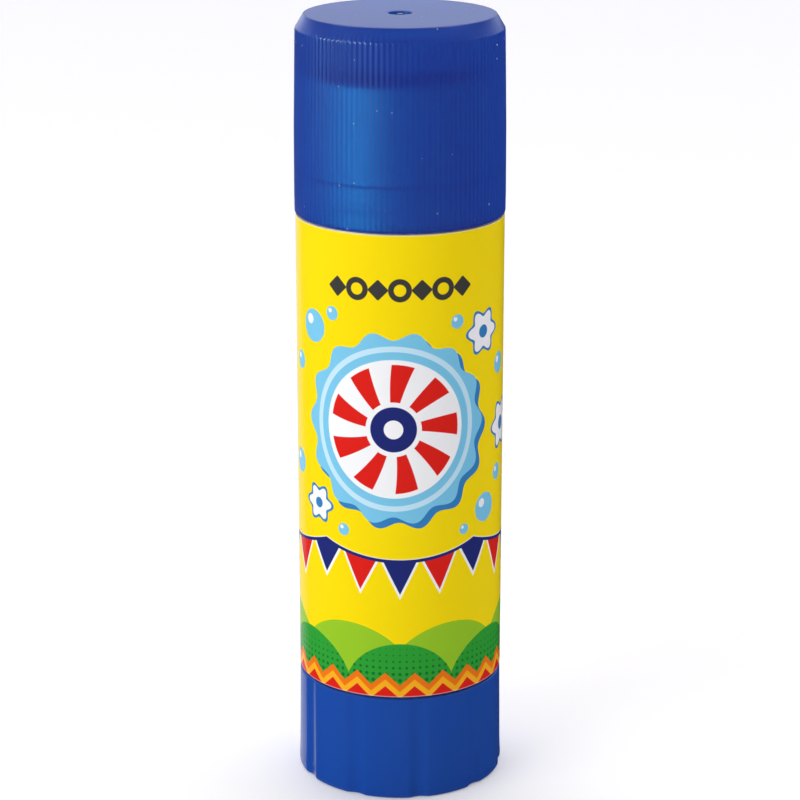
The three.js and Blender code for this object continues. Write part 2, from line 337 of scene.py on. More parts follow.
class Value:
    """A number in a shader. Python's operators on it add Math nodes."""

    def __init__(self, shader: "Shader", socket: Socket) -> None:
        """Wraps an output socket."""
        self.shader = shader
        self.socket = socket

    def math(self, operation: str, *others: "Value | float") -> "Value":
        """Adds a Math node that takes this value first."""
        return self.shader.math(operation, self, *others)

    def __add__(self, other: "Value | float") -> "Value":
        """self + other."""
        return self.math("ADD", other)

    def __sub__(self, other: "Value | float") -> "Value":
        """self - other."""
        return self.math("SUBTRACT", other)

    def __mul__(self, other: "Value | float") -> "Value":
        """self * other."""
        return self.math("MULTIPLY", other)

    def __rsub__(self, other: "Value | float") -> "Value":
        """other - self."""
        return self.shader.math("SUBTRACT", other, self)

    __radd__ = __add__
    __rmul__ = __mul__

    def __abs__(self) -> "Value":
        """The value without its sign."""
        return self.math("ABSOLUTE")

    def below(self, edge: "Value | float", soft: float) -> "Value":
        """1 where the value is under an edge and 0 over it, with a soft step as wide as soft."""
        return self.shader.math("ADD", (edge - self) * (1 / soft), 0.5, use_clamp=True)

    def above(self, edge: "Value | float", soft: float) -> "Value":
        """1 where the value is over an edge and 0 under it, with a soft step as wide as soft."""
        return self.shader.math("ADD", (self - edge) * (1 / soft), 0.5, use_clamp=True)

    def wrapped(self, period: float) -> "Value":
        """The value counted from the middle of the period that it lies in."""
        return self.math("WRAP", period / 2, -period / 2)


class Shader:
    """The node tree of one material or of the world."""

    def __init__(self, owner: "bpy.types.Material | bpy.types.World") -> None:
        """Empties the owner's node tree.

        Args:
            owner: the material or world that the nodes belong to.
        """
        owner.use_nodes = True
        self.owner = owner
        self.tree = owner.node_tree
        self.tree.nodes.clear()

    def node(self, kind: str, settings: dict | None = None, sockets: dict | None = None) -> bpy.types.Node:
        """Adds any node.

        Args:
            kind: the node's type, without its ShaderNode prefix.
            settings: properties of the node, set first.
            sockets: values or links for its inputs, by name or number.

        Returns:
            The new node.
        """
        made = self.tree.nodes.new("ShaderNode" + kind)
        for name, setting in (settings or {}).items():
            setattr(made, name, setting)
        for name, given in (sockets or {}).items():
            socket = made.inputs[name]
            if isinstance(given, Value):
                self.tree.links.new(given.socket, socket)
            elif isinstance(given, Socket):
                self.tree.links.new(given, socket)
            elif socket.type == "RGBA":
                socket.default_value = (*given, 1.0)
            else:
                socket.default_value = given
        return made

    def value(self, kind: str, settings: dict, sockets: dict, output: str | int = 0) -> Value:
        """Adds any node and wraps one of its outputs as a number."""
        return Value(self, self.node(kind, settings, sockets).outputs[output])

    def math(self, operation: str, *values: Value | float, **settings: bool) -> Value:
        """Adds a Math node."""
        return self.value("Math", {"operation": operation, **settings}, dict(enumerate(values)))

    def place(self) -> Socket:
        """The place on the piece, in metres in the stick's own frame."""
        return self.node("TexCoord").outputs["Object"]

    def parts(self, vector: Socket) -> tuple[Value, Value, Value]:
        """The three parts of a vector as numbers."""
        made = self.node("SeparateXYZ", {}, {0: vector})
        return tuple(Value(self, output) for output in made.outputs)

    def vector(self, x: Value, y: Value) -> Socket:
        """A flat vector from two numbers."""
        return self.node("CombineXYZ", {}, {0: x, 1: y}).outputs[0]

    def shift(self, operation: str, one: Socket, other: Triple) -> Socket:
        """Vector Math on a vector and three numbers."""
        return self.node("VectorMath", {"operation": operation}, {0: one, 1: other}).outputs[0]

    def length(self, vector: Socket) -> Value:
        """The length of a vector."""
        return self.value("VectorMath", {"operation": "LENGTH"}, {0: vector}, "Value")

    def distance(self, one: Socket, other: Triple) -> Value:
        """The distance between a place and a fixed point."""
        return self.value("VectorMath", {"operation": "DISTANCE"}, {0: one, 1: other}, "Value")

    def noise(self, vector: Socket, scale: float, detail: float = 2.0) -> Value:
        """Smooth noise from 0 to 1 with features about 1 / scale metres across."""
        return self.value("TexNoise", {}, {"Vector": vector, "Scale": scale, "Detail": detail}, "Fac")

    def mix(self, mask: Value, below: Colour | Socket, above: Colour | Socket) -> Socket:
        """One colour over another where the mask is 1."""
        settings = {"data_type": "RGBA", "blend_type": "MIX"}
        return self.node("Mix", settings, {0: mask, 6: below, 7: above}).outputs[2]

    def bump(self, height: Value, depth: float, strength: float) -> Socket:
        """A normal tilted by a height from 0 to 1 that stands for a real depth."""
        return self.node("Bump", {}, {"Height": height, "Distance": depth, "Strength": strength}).outputs[0]

    def surface(self, sockets: dict) -> None:
        """Ends the material with a Principled shader that has these sockets."""
        shader = self.node("BsdfPrincipled", {}, sockets)
        self.node("OutputMaterial", {}, {"Surface": shader.outputs[0]})


def darker(colour: Colour, share: float) -> Colour:
    """A colour with each part cut to a share of what it was."""
    return tuple(part * share for part in colour)


def dress(piece: bpy.types.Object, material: bpy.types.Material) -> None:
    """Gives a piece one material all over."""
    piece.data.materials.clear()
    piece.data.materials.append(material)


# Finishes


@dataclass(frozen=True)
class PaleSpecks:
    """Sparse pale specks over a surface, at most one in a cell."""

    cell: float = 0.9 * MM
    speck: float = 0.105 * MM
    share: float = 0.12
    speck_edge: float = 0.012
    pick_edge: float = 0.01

    def mask(self, shader: Shader, place: Socket) -> Value:
        """1 on a speck and 0 elsewhere.

        Args:
            shader: the material's shader.
            place: the place on the piece.

        Returns:
            The mask.
        """
        cells = shader.node("TexVoronoi", {}, {"Vector": place, "Scale": 1 / self.cell})
        near = Value(shader, cells.outputs["Distance"])
        pick = shader.parts(cells.outputs["Color"])[0]
        picked = pick.above(1 - self.share, self.pick_edge)
        return near.below(self.speck / self.cell * pick, self.speck_edge) * picked


@dataclass(frozen=True)
class CapPlastic:
    """Blue polypropylene that lets some light through, so that what is inside shows faintly."""

    body: Colour = (0.012, 0.036, 0.395)
    tint: Colour = (0.0005, 0.22, 0.82)
    lined: Colour = (0.9, 0.96, 1.0)
    # darker tint of the sealing ring and the step: partly thicker plastic, partly painted shade
    sealed_and_shaded: Colour = (0.5, 0.4, 0.62)
    # the colour of the painted glint on the nub in the middle of the top
    nub_glint_colour: Colour = srgb(205, 235, 250)
    specks: Colour = srgb(196, 218, 248)
    clearness: float = 0.52
    roughness: float = 0.2
    clear_roughness: float = 0.34
    lining_roughness: float = 0.5
    shine: float = 0.4
    nub_glint_radius: float = 0.33 * MM
    nub_glint_depth: float = 0.3 * MM
    grain_depth: float = 0.004 * MM
    pale_specks: PaleSpecks = PaleSpecks()

    def lining(self) -> bpy.types.Material:
        """Makes the material of the wall's inner side, which light passes on its way out."""
        return self.inner("cap_lining", self.lined)

    def seal_and_shade(self) -> bpy.types.Material:
        """Makes the material of the sealing ring and the step, where more plastic is in the way: a darker
        tint that is partly that plastic and partly painted shade.
        """
        return self.inner("cap_seal_and_shade", self.sealed_and_shaded)

    def inner(self, name: str, colour: Colour) -> bpy.types.Material:
        """Makes a clear material for the inner side.

        Args:
            name: the material's name.
            colour: what the plastic does to the light that passes.

        Returns:
            The material.
        """
        shader = Shader(bpy.data.materials.new(name))
        flow = shader.noise(shader.place(), 300.0)
        shader.surface(
            {
                "Base Color": shader.mix(flow * 0.2, colour, darker(colour, 0.92)),
                "Roughness": self.lining_roughness + (flow - 0.5) * 0.06,
                "IOR": PLASTIC_IOR,
                "Transmission Weight": 1.0,
            }
        )
        return shader.owner

    def nub_glint_mask(self, shader: Shader, place: Socket, fine: Value) -> Value:
        """The painted glint on the nub that the moulding gate left in the middle of the top, broken into
        grains.

        Args:
            shader: the material's shader.
            place: the place on the piece.
            fine: fine noise that breaks the painted glint up into grains.

        Returns:
            A mask, 1 on a grain.
        """
        x, y, z = shader.parts(place)
        middle = shader.length(shader.vector(x, y)).below(self.nub_glint_radius, 0.12 * MM)
        high = z.above(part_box("cap")[1].z - self.nub_glint_depth, 0.1 * MM)
        return middle * fine.above(0.45, 0.15) * high

    def make(self) -> bpy.types.Material:
        """Makes the material of the outer side, pigmented plastic mixed with clear plastic.

        Returns:
            The material.
        """
        shader = Shader(bpy.data.materials.new("cap_plastic"))
        place = shader.place()
        cloud = shader.noise(place, 90.0)
        fine = shader.noise(place, 2600.0, 1.0)
        colour = shader.mix(cloud * 0.25, self.body, darker(self.body, 0.8))
        colour = shader.mix(self.pale_specks.mask(shader, place), colour, self.specks)
        # Painted glint on the nub in the middle of the top.
        colour = shader.mix(self.nub_glint_mask(shader, place, fine), colour, self.nub_glint_colour)
        same = {"IOR": PLASTIC_IOR, "Normal": shader.bump(fine, self.grain_depth, 0.1)}
        opaque = {
            "Base Color": colour,
            "Roughness": self.roughness + (cloud - 0.5) * 0.06,
            "Specular IOR Level": self.shine,
        }
        glassy = {"Base Color": self.tint, "Roughness": self.clear_roughness, "Transmission Weight": 1.0}
        pigment = shader.node("BsdfPrincipled", {}, opaque | same)
        clear = shader.node("BsdfPrincipled", {}, glassy | same)
        both = shader.node("MixShader", {}, {0: self.clearness, 1: pigment.outputs[0], 2: clear.outputs[0]})
        shader.node("OutputMaterial", {}, {"Surface": both.outputs[0]})
        return shader.owner


@dataclass(frozen=True)
class KnobPlastic:
    """Opaque blue polypropylene with the soft gloss of a polished mould."""

    body: Colour = (0.006, 0.068, 0.39)
    scuffed: Colour = srgb(52, 92, 168)
    roughness: float = 0.2
    scuff_height: float = 0.5 * MM
    streak_depth: float = 0.006 * MM

    def make(self) -> bpy.types.Material:
        """Makes the material.

        Returns:
            The material.
        """
        shader = Shader(bpy.data.materials.new("knob_plastic"))
        place = shader.place()
        cloud = shader.noise(place, 160.0)
        streaks = shader.noise(shader.shift("MULTIPLY", place, (1.0, 1.0, 0.06)), 1400.0, 3.0)
        height = shader.parts(place)[2]
        worn = height.below(self.scuff_height, 0.8 * MM) * cloud.above(0.5, 0.4)
        colour = shader.mix(worn * 0.2, self.body, self.scuffed)
        shader.surface(
            {
                "Base Color": colour,
                "Roughness": self.roughness + (cloud - 0.5) * 0.08 + worn * 0.15,
                "IOR": PLASTIC_IOR,
                "Normal": shader.bump(streaks, self.streak_depth, 0.35),
            }
        )
        return shader.owner


@dataclass(frozen=True)
class WhitePlastic:
    """Natural white polypropylene of the inner mouldings."""

    name: str
    body: Colour = srgb(236, 236, 230)
    shade: Colour = srgb(218, 219, 214)
    roughness: float = 0.5
    grain_depth: float = 0.008 * MM

    def make(self) -> bpy.types.Material:
        """Makes the material.

        Returns:
            The material.
        """
        shader = Shader(bpy.data.materials.new(self.name))
        place = shader.place()
        flow = shader.noise(shader.shift("MULTIPLY", place, (1.0, 1.0, 0.25)), 220.0, 3.0)
        grain = shader.noise(place, 3000.0, 1.0)
        shader.surface(
            {
                "Base Color": shader.mix(flow * 0.6, self.body, self.shade),
                "Roughness": self.roughness + (flow - 0.5) * 0.12,
                "IOR": PLASTIC_IOR,
                "Normal": shader.bump(grain, self.grain_depth, 0.5),
            }
        )
        return shader.owner


@dataclass(frozen=True)
class GluePaste:
    """Off-white waxy glue with the faint marks of being cast and wiped."""

    body: Colour = srgb(249, 248, 243)
    shade: Colour = srgb(243, 240, 230)
    ior: float = 1.46
    roughness: float = 0.42
    glow: float = 0.35
    glow_depth: float = 1.2 * MM
    smear_depth: float = 0.05 * MM

    def make(self) -> bpy.types.Material:
        """Makes the material.

        Returns:
            The material.
        """
        shader = Shader(bpy.data.materials.new("glue_paste"))
        place = shader.place()
        cloud = shader.noise(place, 180.0, 3.0)
        smear = shader.noise(shader.shift("MULTIPLY", place, (0.25, 1.0, 0.5)), 900.0, 4.0)
        shader.surface(
            {
                "Base Color": shader.mix(cloud.above(0.5, 0.6) * 0.6, self.body, self.shade),
                "Roughness": self.roughness + (smear - 0.5) * 0.3,
                "IOR": self.ior,
                "Subsurface Weight": self.glow,
                "Subsurface Radius": (1.0, 0.9, 0.7),
                "Subsurface Scale": self.glow_depth,
                "Normal": shader.bump(smear, self.smear_depth, 0.5),
            }
        )
        return shader.owner


class Ink(Enum):
    """The label's inks."""

    YELLOW = srgb(251, 222, 1)
    SKY = srgb(122, 199, 232)
    PALE = srgb(196, 230, 246)
    WHITE = srgb(246, 247, 248)
    BLUE = srgb(52, 128, 190)
    RED = srgb(222, 32, 24)
    NAVY = srgb(34, 44, 116)
    GREEN = srgb(46, 160, 52)
    DARK_GREEN = srgb(22, 116, 48)
    LIME = srgb(150, 200, 40)
    ORANGE = srgb(240, 118, 18)
    AMBER = srgb(251, 178, 30)
    CHARCOAL = srgb(62, 62, 58)


@dataclass
class LabelPrint:
    """A glossy printed film with a pattern of paper-craft shapes, twice round the stick.

    The artwork is drawn in millimetres: across from the middle of a panel, and up from the film's lower edge.
    """

    radius: float
    bottom: float
    top: float
    edge: float = 0.07  # softness of a printed edge
    panels: int = 2
    bead_row: float = 53.0
    bead_step: float = 2.7
    string_height: float = 18.2
    rosette_place: tuple[float, float] = (-0.8, 35.4)
    blossoms: tuple[Triple, ...] = ((-11.6, 24.4, 1.9), (11.8, 46.6, 2.3), (17.2, 33.4, 2.6))
    bubbles: tuple[Triple, ...] = (
        (-12.4, 47.2, 2.1),
        (-9.0, 49.4, 0.9),
        (7.4, 48.6, 0.9),
        (16.0, 41.6, 1.4),
        (15.6, 27.4, 1.1),
        (-16.0, 42.0, 1.2),
        (-16.6, 28.6, 1.6),
        (12.4, 23.6, 1.9),
        (8.6, 21.6, 0.7),
        (-7.4, 21.8, 0.8),
    )
    margin: float = 0.1
    seam: float = 0.06
    roughness: float = 0.2
    shine: float = 0.1
    wave_depth: float = 0.03 * MM

    def __post_init__(self) -> None:
        """Lays the yellow ground and works out where a place lies on the unrolled label."""
        self.shader = Shader(bpy.data.materials.new("label_film"))
        self.where = self.shader.place()
        x, y, z = self.shader.parts(self.where)
        turn = self.shader.math("ARCTAN2", x, y * -1)
        self.across = turn * (self.radius / MM)
        self.up = (z - self.bottom) * (1 / MM)
        self.panel = self.across.wrapped(self.length() / self.panels)
        self.spot = self.shader.vector(self.panel, self.up)
        self.ink = Ink.YELLOW.value

    def length(self) -> float:
        """The way once round the label, in millimetres."""
        return 2 * math.pi * self.radius / MM

    def lay(self, mask: Value, ink: Ink, strength: float = 1.0) -> None:
        """Prints an ink where the mask is 1."""
        self.ink = self.shader.mix(mask * strength if strength < 1 else mask, self.ink, ink.value)

    def disc(self, x: float, y: float, radius: float, *rings: tuple[float, Ink]) -> None:
        """Prints discs on one centre.

        Args:
            x: their middle, across the panel.
            y: their middle, up the label.
            radius: the radius that the discs' sizes are shares of.
            rings: each disc's size and ink, the largest first.
        """
        away = self.shader.distance(self.spot, (x, y, 0.0))
        for size, ink in rings:
            self.lay(away.below(size * radius, self.edge), ink)

    def block(self, x: float, y: float, half: tuple[float, float], corner: float, tilt: float) -> Value:
        """The distance to a tilted block with round corners, below 0 inside it.

        Args:
            x: its middle, across the panel.
            y: its middle, up the label.
            half: half of its width and height.
            corner: the radius of its corners.
            tilt: how far it leans to the left, in degrees.

        Returns:
            The distance in millimetres.
        """
        shader = self.shader
        centred = shader.shift("SUBTRACT", self.spot, (x, y, 0.0))
        turned = {"Vector": centred, "Angle": -math.radians(tilt)}
        level = shader.node("VectorRotate", {"rotation_type": "Z_AXIS"}, turned).outputs[0]
        folded = shader.shift("ABSOLUTE", level, (0.0, 0.0, 0.0))
        beyond = shader.shift("SUBTRACT", folded, (half[0] - corner, half[1] - corner, 0.0))
        return shader.length(shader.shift("MAXIMUM", beyond, (0.0, 0.0, 0.0))) - corner

    def flower(self, x: float, y: float, radius: float, petals: int, wave: float) -> Value:
        """The distance to a flower whose petals reach a wave past its mean radius, below 0 inside it."""
        away, turn = self.polar(x, y)
        return away - radius - (turn * petals).math("COSINE") * wave

    def polar(self, x: float, y: float) -> tuple[Value, Value]:
        """The distance and the direction from a point of the panel.

        Args:
            x: the point, across the panel.
            y: the point, up the label.

        Returns:
            The distance in millimetres, and the direction in radians from the right.
        """
        centred = self.shader.shift("SUBTRACT", self.spot, (x, y, 0.0))
        right, up, _ = self.shader.parts(centred)
        return self.shader.length(centred), self.shader.math("ARCTAN2", up, right)

    def bubble(self, x: float, y: float, radius: float) -> None:
        """Prints a small ball with a highlight."""
        self.disc(x, y, radius, (1.0, Ink.SKY))
        self.disc(x - 0.34 * radius, y + 0.36 * radius, radius, (0.3, Ink.WHITE))

    def blossom(self, x: float, y: float, radius: float) -> None:
        """Prints a small white flower with a blue outline.

        Args:
            x: its middle, across the panel.
            y: its middle, up the label.
            radius: its mean radius.
        """
        shape = self.flower(x, y, radius, petals=6, wave=radius * 0.18)
        self.lay(shape.below(0.4, self.edge), Ink.BLUE)
        self.lay(shape.below(0.0, self.edge), Ink.WHITE)
        self.disc(x, y, radius, (0.36, Ink.BLUE))

    def hills(self, period: float, start: float, crest: float, radius: float) -> Value:
        """A mask of round hills, one to a period, that rise to a crest all round the label."""
        place = self.shader.vector((self.across + start).wrapped(period), self.up)
        return self.shader.distance(place, (0.0, crest - radius, 0.0)).below(radius, self.edge)

    def ground(self) -> None:
        """Prints the green hills, their dots and the zigzags at the foot of the label."""
        wide = self.length() / 6
        self.lay(self.hills(wide, wide / 2, crest=9.6, radius=9.0), Ink.LIME)
        front = self.hills(wide, 0.0, crest=7.2, radius=7.4)
        self.lay(front, Ink.GREEN)
        cell = self.length() / 96
        dots = self.shader.vector(self.across.wrapped(cell), (self.up + 0.3).wrapped(cell))
        size = 0.36 - self.up * 0.045
        self.lay(self.shader.length(dots).below(size, self.edge) * front, Ink.DARK_GREEN)
        fold = self.across.math("PINGPONG", self.length() / 44) * 0.9
        self.lay(self.up.below(fold + 1.6, self.edge), Ink.ORANGE)
        self.lay(self.up.below(fold + 0.7, self.edge), Ink.AMBER)
        self.lay(self.up.below(fold - 0.2, self.edge), Ink.RED)

    def rosette(self, x: float, y: float) -> None:
        """Prints the large folded-paper rosette in the middle of a panel.

        Args:
            x: its middle, across the panel.
            y: its middle, up the label.
        """
        for shift, ink in ((0.7, Ink.BLUE), (0.0, Ink.SKY)):
            edge = self.flower(x + shift, y - shift, radius=11.9, petals=14, wave=0.55)
            self.lay(edge.below(0.0, self.edge), ink)
        self.disc(x, y, 1.0, (10.6, Ink.PALE), (9.9, Ink.SKY), (8.9, Ink.WHITE))
        away, turn = self.polar(x, y)
        fold = (turn * 9 + away * 0.16).math("SINE") * away * (1 / 9)
        self.lay(fold.above(0.0, self.edge) * away.below(8.3, self.edge), Ink.RED)
        self.disc(x, y, 1.0, (3.5, Ink.WHITE), (2.9, Ink.NAVY), (1.2, Ink.WHITE))

    def bunting(self, low: float) -> None:
        """Prints the string of little flags under the rosette.

        Args:
            low: the height of the string where it hangs lowest.
        """
        swag = self.length() / 4
        flag = swag / 4
        drop = 4.4
        dip = 1.8
        sag = self.across.wrapped(swag) * (2 / swag)
        under = sag * sag * dip + low - self.up
        narrow = abs(self.across.wrapped(flag)) - (drop - under) * (0.42 * flag / drop)
        hung = under.above(0.0, self.edge)
        self.lay(narrow.below(0.32, self.edge) * under.above(-0.3, self.edge), Ink.WHITE)
        other = abs(self.across.wrapped(2 * flag)).above(flag / 2, self.edge)
        inside = narrow.below(0.0, self.edge) * hung
        self.lay(inside, Ink.NAVY)
        self.lay(inside * other, Ink.RED)
        self.lay(abs(under).below(0.22, self.edge), Ink.NAVY)

    def beads(self) -> None:
        """Prints the row of small dark shapes under the label's upper edge."""
        for number in range(-3, 4):
            x = self.bead_step * number
            if number % 2:
                block = self.block(x, self.bead_row, half=(0.95, 0.95), corner=0.2, tilt=45.0)
                self.lay(block.below(0.0, self.edge), Ink.CHARCOAL)
            else:
                self.disc(x, self.bead_row, 1.0, (1.45, Ink.CHARCOAL), (0.75, Ink.YELLOW))

    def make(self) -> bpy.types.Material:
        """Prints everything in order and gives the film its gloss.

        Returns:
            The material.
        """
        self.ground()
        self.bunting(self.string_height)
        self.rosette(*self.rosette_place)
        for blossom in self.blossoms:
            self.blossom(*blossom)
        self.beads()
        for bubble in self.bubbles:
            self.bubble(*bubble)
        height = (self.top - self.bottom) / MM
        margin = self.up.below(self.margin, self.edge) + self.up.above(height - self.margin, self.edge)
        self.lay(margin, Ink.WHITE, 0.4)
        shader = self.shader
        cloud = shader.noise(self.where, 150.0)
        seam = abs(self.across - self.length() / 4).below(self.seam, 0.06)
        colour = shader.mix(seam * 0.35, self.ink, Ink.CHARCOAL.value)
        shader.surface(
            {
                "Base Color": colour,
                "Roughness": self.roughness + (cloud - 0.5) * 0.08,
                "Specular IOR Level": self.shine,
                "Normal": shader.bump(cloud, self.wave_depth, 0.3),
            }
        )
        return shader.owner


# The stick's sub-assemblies


@dataclass
class Cap:
    """The ribbed push-on cap."""

    ribs: int = 120
    points_in_a_rib: int = 6
    rib_depth: float = 0.1 * MM
    rib_end: float = 0.42 * MM
    rib_end_curve: tuple[tuple[float, float], ...] = ((0.5, 0.13), (0.87, 0.5), (1.0, 1.0))  # out, down
    wall: float = 1.05 * MM
    roof: float = 1.2 * MM
    top_draft: float = 0.11 * MM
    upper_draft: float = 0.04 * MM
    bulge_below_mouth: float = 14.8 * MM
    bulge_fade: float = 8.0 * MM
    rim_flare: float = 0.12 * MM
    rim_edge: float = 0.1 * MM
    bevel_height: float = 1.6 * MM
    bevel_width: float = 0.94 * MM
    lower_relief: float = 0.3 * MM
    relief_height: float = 5.1 * MM
    relief_slope: float = 0.3 * MM
    head_depth: float = 4.2 * MM
    head_step: float = 0.4 * MM
    head_slope: float = 1.8 * MM
    seal_outer: float = 10.45 * MM
    seal_wall: float = 0.7 * MM
    seal_overlap: float = 1.9 * MM
    # height of the sealing ring's lower part, whose faces get the darker tint with painted shade
    seal_dark: float = 3.3 * MM
    seat: float = 0.13 * MM
    dimple_radius: float = 1.45 * MM
    dimple_depth: float = 0.5 * MM
    nub_radius: float = 0.42 * MM
    nub_height: float = 0.43 * MM
    small_round: int = 96
    plastic: CapPlastic = CapPlastic()

    def pattern(self, angle: float) -> float:
        """How deep the ribs go in at an angle, from 0 on a crest to 1 in a valley."""
        return (1 - math.cos(self.ribs * angle)) / 2

    def dimple(self) -> list[Corner]:
        """The profile from the nub in the middle of the top out to the flat disc.

        Returns:
            The profile.
        """
        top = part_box("cap")[1].z
        floor = top - self.dimple_depth
        return rounded(
            [
                Corner(self.nub_radius * 0.3, floor + self.nub_height),
                Corner(self.nub_radius, floor + self.nub_height, fillet=0.12 * MM),
                Corner(self.nub_radius, floor, fillet=0.06 * MM),
                Corner(self.dimple_radius, floor, fillet=0.2 * MM),
                Corner(self.dimple_radius, top, fillet=0.1 * MM),
                Corner(self.dimple_radius + 1.0 * MM, top),
            ]
        )

    def outside(self) -> list[Corner]:
        """The profile from the flat disc over the bevel and down the ribs to the rim.

        Returns:
            The profile, in which each rib ends in a curve under the bevel.
        """
        low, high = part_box("cap")
        label_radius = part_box("label")[1].x
        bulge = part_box("barrel")[1].z - self.bulge_below_mouth
        crest = label_radius - self.top_draft
        valley = crest - self.rib_depth
        shoulder = high.z - self.bevel_height
        rim = label_radius + self.rim_flare
        cut = self.rib_depth
        sliver = 0.01 * MM  # how far the ribs stand out where they begin
        bevel = rounded(
            [
                Corner(valley - self.bevel_width - 0.6 * MM, high.z),
                Corner(valley - self.bevel_width, high.z, fillet=0.12 * MM),
                Corner(valley, shoulder),
            ],
            3,
        )[:-1]
        ends = [
            Corner(valley + cut * out, shoulder - self.rib_end * down, cut=cut * out)
            for out, down in self.rib_end_curve
        ]
        sides = [
            Corner(high.x - self.upper_draft, bulge + self.bulge_fade, cut=cut),
            Corner(high.x, bulge, cut=cut),
            Corner(rim, low.z + self.rim_edge, cut=cut),
            Corner(rim - 0.05 * MM, low.z - 0.06 * MM, cut=cut),
            Corner(rim - 0.2 * MM, low.z - self.seat),
        ]
        return bevel + [Corner(valley + sliver, shoulder, cut=sliver)] + ends + sides

    def inside(self) -> list[Corner]:
        """The profile from the rim up the inner wall and round the sealing ring to the roof.

        Returns:
            The profile.
        """
        low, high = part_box("cap")
        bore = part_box("label")[1].x - self.wall
        relief_top = low.z + self.relief_height
        head = high.z - self.head_depth
        roof = high.z - self.roof
        seal_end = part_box("barrel")[1].z - self.seal_overlap
        seal_inner = self.seal_outer - self.seal_wall
        return rounded(
            [
                Corner(bore + self.lower_relief + self.rim_edge, low.z - self.seat),
                Corner(bore + self.lower_relief, low.z + self.rim_edge),
                Corner(bore + self.lower_relief, relief_top, fillet=0.05 * MM),
                Corner(bore, relief_top + self.relief_slope, fillet=0.05 * MM),
                Corner(bore, head - self.head_slope / 2, fillet=0.5 * MM),
                Corner(bore - self.head_step, head + self.head_slope / 2, fillet=0.5 * MM),
                Corner(bore - self.head_step, roof, fillet=0.4 * MM),
                Corner(self.seal_outer, roof, fillet=0.25 * MM),
                Corner(self.seal_outer, seal_end + self.seal_dark),
                Corner(self.seal_outer, seal_end, fillet=0.2 * MM),
                Corner(seal_inner, seal_end, fillet=0.2 * MM),
                Corner(seal_inner, seal_end + self.seal_dark),
                Corner(seal_inner, roof, fillet=0.3 * MM),
                Corner(seal_inner - 1.0 * MM, roof),
            ],
            3,
        )

    def build(self) -> bpy.types.Object:
        """Builds the cap and dresses it.

        Returns:
            The finished cap.
        """
        dimple = self.dimple()
        outside = self.outside()
        inside = self.inside()
        sides = self.ribs * self.points_in_a_rib
        made = Turned(CAP_PIECE, self.small_round, dimple[0]).follow(dimple[1:]).cover(dimple[0])
        made.start(sides, outside[0]).follow(outside[1:], self.pattern).follow(inside).fill()
        made.bridge(dimple[-1], outside[0])
        made.finish(Body.CAP, "cap_plastic", "cap", self.plastic.make(), sharp=60.0)
        self.line(made)
        return made.piece

    def line(self, made: Turned) -> None:
        """Gives the cap's inner side its own materials.

        Args:
            made: the finished cap.
        """
        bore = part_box("label")[1].x - self.wall
        relieved = bore + self.lower_relief
        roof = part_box("cap")[1].z - self.roof
        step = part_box("cap")[0].z + self.relief_height + self.relief_slope / 2
        seal_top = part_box("barrel")[1].z - self.seal_overlap + self.seal_dark

        def inner(middle: Vector) -> bool:
            """Whether a face is on the inside of the cap."""
            return radius_of(middle) < relieved + CLOSE and middle.z < roof + CLOSE

        def on_seal(middle: Vector) -> bool:
            """Whether a face is on the lower part of the sealing ring."""
            return radius_of(middle) < self.seal_outer + 0.1 * MM and middle.z < seal_top

        def on_step(middle: Vector) -> bool:
            """Whether a face is on the step in the wall."""
            on_wall = bore - CLOSE < radius_of(middle) < relieved + CLOSE
            return on_wall and abs(middle.z - step) < self.relief_slope / 2

        made.paint(self.plastic.lining(), inner)
        # The sealing ring's lower part and the step get a darker tint: partly thicker plastic, partly painted
        # shade.
        made.paint(self.plastic.seal_and_shade(), lambda middle: on_seal(middle) or on_step(middle))


